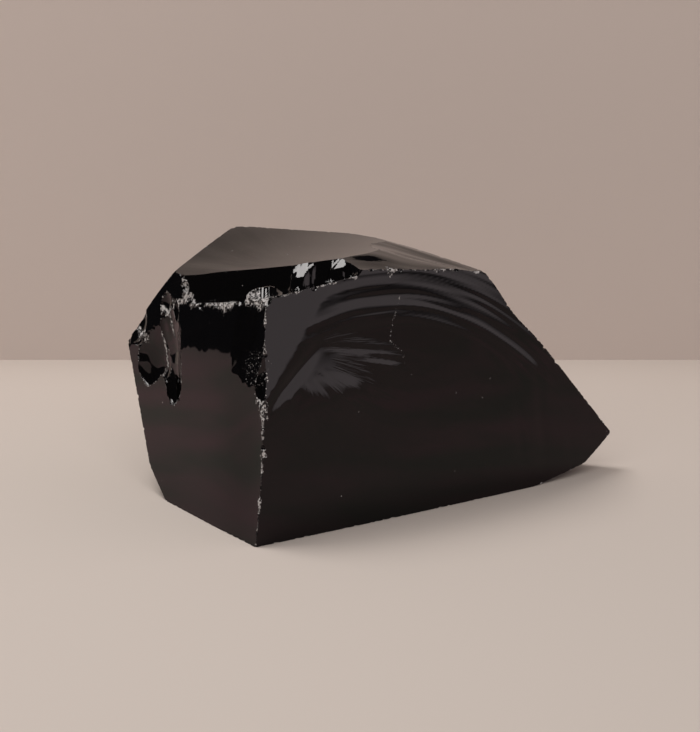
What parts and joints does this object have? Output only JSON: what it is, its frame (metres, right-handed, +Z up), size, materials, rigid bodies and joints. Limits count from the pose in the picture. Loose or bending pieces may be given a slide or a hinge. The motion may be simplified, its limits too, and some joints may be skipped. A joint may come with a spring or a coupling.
{
  "type": "obsidian chunk",
  "caption": "Raw black obsidian chunk with glossy curved fracture faces, rippled hackle marks, a stepped flake scar on top and a chipped corner; it rests on a flat foot.",
  "frame": {"origin": "on the flat foot, under the middle of the chunk's outline", "axes": "+Z up, as it rests; +X along the chunk's longest side, towards its thin tip; -Y towards the sharp front corner where the two tall faces meet"},
  "size_m": [0.1155, 0.0785, 0.0597],
  "materials": {
    "obsidian": "opaque black volcanic glass, glossy as broken, whitish where the edges are crushed"
  },
  "bodies": {
    "root": {"obsidian_chunk": "obsidian"}
  },
  "joints": []
}
